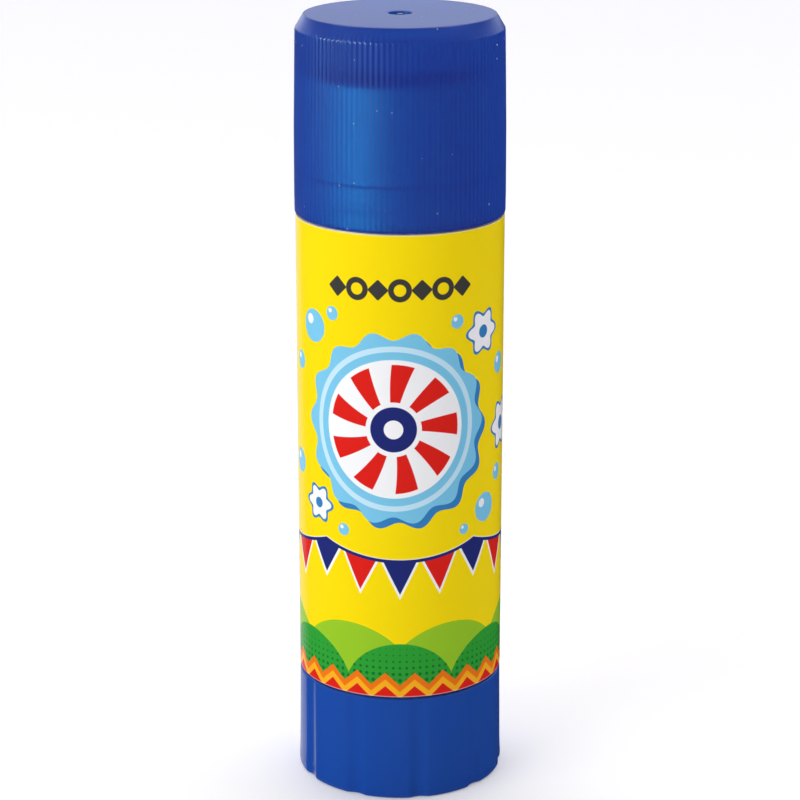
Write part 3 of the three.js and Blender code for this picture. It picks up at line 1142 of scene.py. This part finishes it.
@dataclass
class Barrel:
    """The tube that holds the glue, and the film round it."""

    neck_edge: float = 0.3 * MM
    neck_gap: float = 1.3 * MM
    wall: float = 1.0 * MM
    bead: float = 0.2 * MM
    bead_width: float = 2.0 * MM
    bead_above: float = 2.9 * MM
    neck_length: float = 17.7 * MM
    web_bottom: float = 6.2 * MM
    web_top: float = 7.4 * MM
    web_hole: float = 4.55 * MM
    guide_height: float = 0.55 * MM
    guide_width: float = 1.2 * MM
    guide_below_mouth: float = 3.5 * MM
    film: float = 0.15 * MM
    film_edge: float = 0.03 * MM
    film_margin: float = 0.05 * MM
    lap: float = 0.05 * MM
    lap_angle: float = math.radians(10)

    def tube(self) -> bpy.types.Object:
        """Builds the tube with its neck, floor and guide ribs.

        Returns:
            The finished tube.
        """
        low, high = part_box("barrel")
        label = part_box("label")
        neck = label[1].x - self.neck_gap
        bore = neck - self.wall
        mouth = high.z
        shoulder = mouth - self.neck_length
        body_bottom = label[0].z - self.film_margin
        bead = shoulder + self.bead_above
        guide_top = mouth - self.guide_below_mouth
        corners = [
            Corner(neck - 0.5 * MM, low.z),
            Corner(neck, low.z, fillet=0.2 * MM),
            Corner(neck, body_bottom),
            Corner(high.x, body_bottom),
            Corner(high.x, shoulder),
            Corner(neck, shoulder, fillet=0.15 * MM),
            Corner(neck, bead - self.bead_width / 2, fillet=0.5 * MM),
            Corner(neck + self.bead, bead, fillet=0.5 * MM),
            Corner(neck, bead + self.bead_width / 2, fillet=0.5 * MM),
            Corner(neck, mouth - self.neck_edge, fillet=0.2 * MM),
            Corner(neck - self.neck_edge, mouth, fillet=0.2 * MM),
            Corner(bore, mouth, fillet=0.15 * MM),
            Corner(bore, guide_top),
            Corner(bore, self.web_top),
            Corner(self.web_hole, self.web_top, fillet=0.15 * MM),
            Corner(self.web_hole, self.web_bottom, fillet=0.15 * MM),
            Corner(bore, self.web_bottom, fillet=0.2 * MM),
            Corner(bore, low.z, fillet=0.1 * MM),
            Corner(bore + 0.3 * MM, low.z),
        ]
        path = rounded(corners, 3)
        made = Turned(TUBE_PIECE, PLAIN, path[0]).follow(path[1:]).bridge(path[0], path[-1])
        made.turn_faces_out()
        reach = self.guide_width / 2 / bore

        def on_guide(middle: Vector) -> bool:
            """Whether a face of the bore lies where a guide rib stands."""
            on_bore = abs(radius_of(middle) - bore) < 0.02 * MM
            return on_bore and off_guide(angle_of(middle)) < reach and self.web_top < middle.z < guide_top

        made.choose_faces(on_guide)
        bpy.ops.mesh.extrude_region_shrink_fatten(TRANSFORM_OT_shrink_fatten={"value": self.guide_height})
        return made.finish(Body.BARREL, "barrel_plastic", "barrel", WhitePlastic("barrel_plastic").make())

    def wrap(self) -> bpy.types.Object:
        """Builds the printed film, whose ends lap on the right.

        Returns:
            The finished film.
        """
        low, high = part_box("label")
        outer = high.x
        path = [
            Corner(outer - self.film, low.z),
            Corner(outer - self.film_edge, low.z),
            Corner(outer, low.z + self.film_edge),
            Corner(outer, high.z - self.film_edge),
            Corner(outer - self.film_edge, high.z),
            Corner(outer - self.film, high.z),
        ]
        made = Turned("label_wrap", 2 * PLAIN, path[0]).follow(path[1:]).bridge(path[0], path[-1])

        def lapped(vertex: bmesh.types.BMVert) -> bool:
            """Whether a vertex is on the end of the film that lies over the other."""
            past = angle_of(vertex.co) - math.pi / 2
            return radius_of(vertex.co) > outer - self.film / 2 and SAME_ANGLE < past < self.lap_angle

        made.choose(lapped)
        scale = (outer + self.lap) / outer
        bpy.ops.transform.resize(value=(scale, scale, 1), center_override=(0, 0, 0))
        return made.finish(Body.BARREL, "label_film", "label", LabelPrint(outer, low.z, high.z).make())


@dataclass
class Knob:
    """The fluted turning knob that the stick stands on."""

    flutes: int = 10
    foot_depth: float = 0.32 * MM
    waist_depth: float = 0.25 * MM
    top_depth: float = 0.14 * MM
    flute_width: float = math.radians(13)
    flute_wall: float = math.radians(5.8)
    first_flute: float = math.radians(10.7)
    points: int = 480
    waist: float = 2.6 * MM
    waist_swell: float = 0.13 * MM
    floor: float = 2.0 * MM
    boss_top: float = 5.9 * MM
    boss_radius: float = 4.95 * MM
    socket_radius: float = 3.55 * MM
    socket_sides: int = 6
    skirt_bore: float = 11.95 * MM
    recess: float = 0.8 * MM
    mark_radius: float = 0.7 * MM
    mark_height: float = 0.25 * MM
    foot_width: float = 2.4 * MM
    edge: float = 0.3 * MM

    def pattern(self, angle: float) -> float:
        """How deep the flutes go in.

        Args:
            angle: the angle round the stick.

        Returns:
            0 between the flutes, 1 on the floor of one, and a wave from one to the other on its walls.
        """
        off = abs(math.remainder(angle - self.first_flute, 2 * math.pi / self.flutes))
        up_the_wall = (off - self.flute_width / 2) / self.flute_wall + 1
        return (1 + math.cos(math.pi * min(max(up_the_wall, 0.0), 1.0))) / 2

    def build(self) -> bpy.types.Object:
        """Builds the knob and dresses it.

        Returns:
            The finished knob.
        """
        low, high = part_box("base_knob")
        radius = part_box("label")[1].x
        foot = min(high.x, high.y, -low.x, -low.y)
        cut = self.foot_depth
        mark = self.recess - self.mark_height
        hollow = foot - self.edge - self.foot_width
        underside = rounded(
            [
                Corner(self.mark_radius - 0.5 * MM, mark),
                Corner(self.mark_radius, mark, fillet=0.15 * MM),
                Corner(self.mark_radius + 0.2 * MM, self.recess, fillet=0.1 * MM),
                Corner(hollow, self.recess, fillet=0.2 * MM),
                Corner(hollow, low.z, fillet=0.12 * MM),
                Corner(hollow + 0.4 * MM, low.z),
            ]
        )
        outside = rounded(
            [
                Corner(hollow + 0.4 * MM, low.z),
                Corner(foot - 0.02 * MM, low.z, fillet=0.42 * MM, cut=cut),
                Corner(foot, low.z + 1.0 * MM, fillet=0.5 * MM, cut=cut),
                Corner(radius + self.waist_swell, self.waist, fillet=0.9 * MM, cut=self.waist_depth),
                Corner(radius, high.z, fillet=0.26 * MM, cut=self.top_depth),
                Corner(radius - 0.5 * MM, high.z, cut=self.top_depth),
            ],
            6,
        )
        inside = rounded(
            [
                Corner(self.skirt_bore + 0.15 * MM, high.z),
                Corner(self.skirt_bore, high.z, fillet=0.12 * MM),
                Corner(self.skirt_bore, self.floor, fillet=0.3 * MM),
                Corner(self.boss_radius, self.floor, fillet=0.3 * MM),
                Corner(self.boss_radius, self.boss_top, fillet=0.2 * MM),
                Corner(self.boss_radius - 0.4 * MM, self.boss_top),
            ]
        )
        made = Turned("turning_knob", self.points, underside[0], self.first_flute)
        made.follow(underside[1:]).follow(outside[1:], self.pattern).follow(inside).cover(underside[0])
        socket = Corner(self.socket_radius, self.boss_top)
        made.start(self.socket_sides, socket).follow([Corner(self.socket_radius, self.floor)]).fill()
        made.bridge(inside[-1], socket)
        return made.finish(Body.KNOB, "knob_plastic", "base_knob", KnobPlastic().make())


@dataclass
class GlueStick:
    """The stick of glue that is cast on the carrier."""

    inside_label: float = 2.6 * MM
    crown: float = 0.25 * MM
    crown_steps: tuple[float, ...] = (0.3, 0.5, 0.7, 0.85)
    edge: float = 0.6 * MM
    cup_radius: float = 9.0 * MM
    ledge: float = 19.1 * MM
    nut_bore: float = 6.15 * MM
    nut_end: float = 17.1 * MM
    screw_bore: float = 4.5 * MM
    screw_end: float = 83.8 * MM
    groove_floor: float = 9.85 * MM
    groove_width: float = 1.8 * MM

    def pattern(self, angle: float) -> float:
        """1 in a groove that passes a guide rib and 0 elsewhere."""
        return 1.0 if off_guide(angle) * self.groove_floor < self.groove_width / 2 else 0.0

    def build(self) -> bpy.types.Object:
        """Builds the glue and dresses it.

        Returns:
            The finished glue.
        """
        low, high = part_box("glue")
        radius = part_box("label")[1].x - self.inside_label
        deep = radius - self.groove_floor
        top = [Corner(0.6 * MM, high.z)]
        for share in self.crown_steps:
            top.append(Corner(share * radius, high.z - self.crown * share**2))
        rim = high.z - self.crown
        side = rounded(
            [
                top[-1],
                Corner(radius - 0.1 * MM, rim, fillet=self.edge, cut=deep),
                Corner(radius, rim - 1.4 * MM, fillet=0.5 * MM, cut=deep),
                Corner(radius, self.ledge, fillet=0.3 * MM, cut=deep),
                Corner(self.cup_radius, self.ledge, fillet=0.2 * MM),
                Corner(self.cup_radius, low.z, fillet=0.3 * MM),
                Corner(self.nut_bore, low.z, fillet=0.2 * MM),
                Corner(self.nut_bore, self.nut_end, fillet=0.2 * MM),
                Corner(self.screw_bore, self.nut_end, fillet=0.2 * MM),
                Corner(self.screw_bore, self.screw_end, fillet=0.3 * MM),
                Corner(self.screw_bore - 1.0 * MM, self.screw_end),
            ]
        )
        made = Turned("glue_stick", PLAIN, top[0]).follow(top[1:])
        made.follow(side[1:], self.pattern).fill().cover(top[0])
        return made.finish(Body.CARRIER, "glue_paste", "glue", GluePaste().make())


# The studio


@dataclass(frozen=True)
class Softbox:
    """A rectangular light that looks at the stick."""

    name: str
    azimuth: float
    elevation: float
    distance: float
    width: float
    height: float
    power: float
    colour: Colour = (1.0, 1.0, 1.0)
    only_on: str = ""
    gloss_only: bool = False

    def build(self, target: Vector) -> None:
        """Sets the light up so that it faces a target.

        Args:
            target: the place that the light looks at.
        """
        turn = math.radians(self.azimuth)
        lift = math.radians(self.elevation)
        away = Vector((math.sin(turn) * math.cos(lift), -math.cos(turn) * math.cos(lift), math.sin(lift)))
        data = bpy.data.lights.new(self.name, "AREA")
        data.shape = "RECTANGLE"
        data.size = self.width
        data.size_y = self.height
        data.energy = self.power
        data.color = self.colour
        light = bpy.data.objects.new(self.name, data)
        bpy.context.scene.collection.objects.link(light)
        light.location = target + away * self.distance
        light.rotation_euler = away.to_track_quat("Z", "Y").to_euler()
        light.visible_glossy = self.gloss_only
        light.visible_diffuse = not self.gloss_only
        light.visible_transmission = False
        if self.only_on:
            group = bpy.data.collections.new(self.name)
            group.objects.link(bpy.data.objects[self.only_on])
            light.light_linking.receiver_collection = group
            light.light_linking.blocker_collection = group


@dataclass
class Studio:
    """The white table, the surroundings, the lights and the camera."""

    lens: float = 120.9  # focal length in millimetres
    camera_back: float = 0.3265
    camera_up: float = 0.1488
    camera_tilt: float = math.radians(73.04)
    table_width: float = 16.0
    table_below_foot: float = 0.02 * MM
    table_colour: Colour = (0.86, 0.86, 0.86)
    table_roughness: float = 0.6
    table_glow: float = 0.21
    aim: float = 50 * MM
    lights: tuple[Softbox, ...] = (
        Softbox("key_light", -52.0, 22.0, 0.75, 0.5, 0.7, 2.95),
        Softbox("fill_light", 95.0, 15.0, 0.8, 0.5, 0.7, 0.7, colour=(1.0, 0.84, 1.0)),
        Softbox("cap_light", 55.0, 0.0, 0.6, 0.4, 0.4, 1.2, only_on=CAP_PIECE),
        Softbox(
            "sparkle_light", -64.0, 12.0, 0.6, 0.3, 0.1, 2.6,
            colour=(0.6, 0.9, 1.0), only_on=CAP_PIECE, gloss_only=True,
        ),
        Softbox("neck_light", -54.0, 0.0, 0.6, 0.25, 0.4, 15.5, only_on=TUBE_PIECE, gloss_only=True),
    )
    room_glow: float = 0.03
    side_glow: float = 0.69
    card_glow: float = 0.55
    sky_glow: float = 0.24
    horizon_glow: float = 0.58
    overhead_glow: float = 3.1
    room_white: Colour = (0.99, 0.975, 1.01)
    horizon_white: Colour = (0.95, 1.07, 1.4)

    def build(self) -> None:
        """Builds the whole studio."""
        self.set_camera()
        self.lay_table()
        self.surround()
        for softbox in self.lights:
            softbox.build(Vector((0.0, 0.0, self.aim)))
        bpy.context.scene.view_settings.view_transform = "Standard"

    def set_camera(self) -> None:
        """Sets the camera where the photograph was taken from."""
        data = bpy.data.cameras.new("camera")
        data.lens = self.lens
        camera = bpy.data.objects.new("camera", data)
        bpy.context.scene.collection.objects.link(camera)
        camera.location = (0.0, -self.camera_back, self.camera_up)
        camera.rotation_euler = (self.camera_tilt, 0.0, 0.0)
        bpy.context.scene.camera = camera

    def lay_table(self) -> None:
        """Lays the pale table top under the stick."""
        clear_selection()
        bpy.ops.mesh.primitive_plane_add(size=self.table_width, location=(0.0, 0.0, -self.table_below_foot))
        top = bpy.context.active_object
        top.name = "table_top"
        top.visible_glossy = False
        shader = Shader(bpy.data.materials.new("table_paint"))
        cloud = shader.noise(shader.place(), 3.0)
        shader.surface(
            {
                "Base Color": shader.mix(cloud * 0.3, self.table_colour, darker(self.table_colour, 0.985)),
                "Roughness": self.table_roughness,
                "Emission Color": (1.0, 1.0, 1.0),
                "Emission Strength": self.table_glow,
            }
        )
        dress(top, shader.owner)

    def surround(self) -> None:
        """Fills the room with soft light, brightest at the back and dark in front.

        The room is given by direction: x to the right, y to the back and z up, each from -1 to 1. A white
        board fills the low left of the back, and a card stands straight behind the stick. The upper half
        is pale all round, and at the back it is brighter over the horizon and brightest overhead.
        """
        shader = Shader(bpy.data.worlds.new("studio"))
        bpy.context.scene.world = shader.owner
        x, y, z = shader.parts(shader.node("TexCoord").outputs["Generated"])
        back = y.above(0.1, 0.6)
        side = y.above(z * 0.8 + 0.95, 0.12) * x.below(0.0, 0.16)
        card = y.above(0.8, 0.06) * x.below(-0.1, 0.1) * z.above(-0.12, 0.08) * z.below(0.16, 0.08)
        sky = z.above(0.03, 0.1)
        horizon = sky * z.below(0.3, 0.15)
        overhead = z.above(0.75, 0.2)
        boards = self.room_glow + side * (1 - sky) * self.side_glow + card * self.card_glow
        ceiling = back * (horizon * self.horizon_glow + overhead * self.overhead_glow)
        glow = boards + sky * self.sky_glow + ceiling
        colour = shader.mix(horizon * back, self.room_white, self.horizon_white)
        seen = shader.value("LightPath", {}, {}, "Is Camera Ray")
        strength = glow * (1 - seen) + seen
        light = shader.node("Background", {}, {"Color": colour, "Strength": strength})
        shader.node("OutputWorld", {}, {"Surface": light.outputs[0]})


def main() -> None:
    """Builds the stick and the studio, and reports each piece."""
    logging.basicConfig(level=logging.INFO, format="%(name)s: %(message)s")
    barrel = Barrel()
    pieces = [barrel.tube(), barrel.wrap(), Knob().build(), GlueStick().build(), Cap().build()]
    for node, slot in (("carrier", "carrier_plastic"), ("lead_screw", "screw_plastic")):
        dress(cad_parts[node], WhitePlastic(slot).make())
        pieces.append(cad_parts[node])
    for piece in pieces:
        log.info("%s: %d faces", piece.name, len(piece.data.polygons))
    Studio().build()


if __name__ == "__main__":
    main()
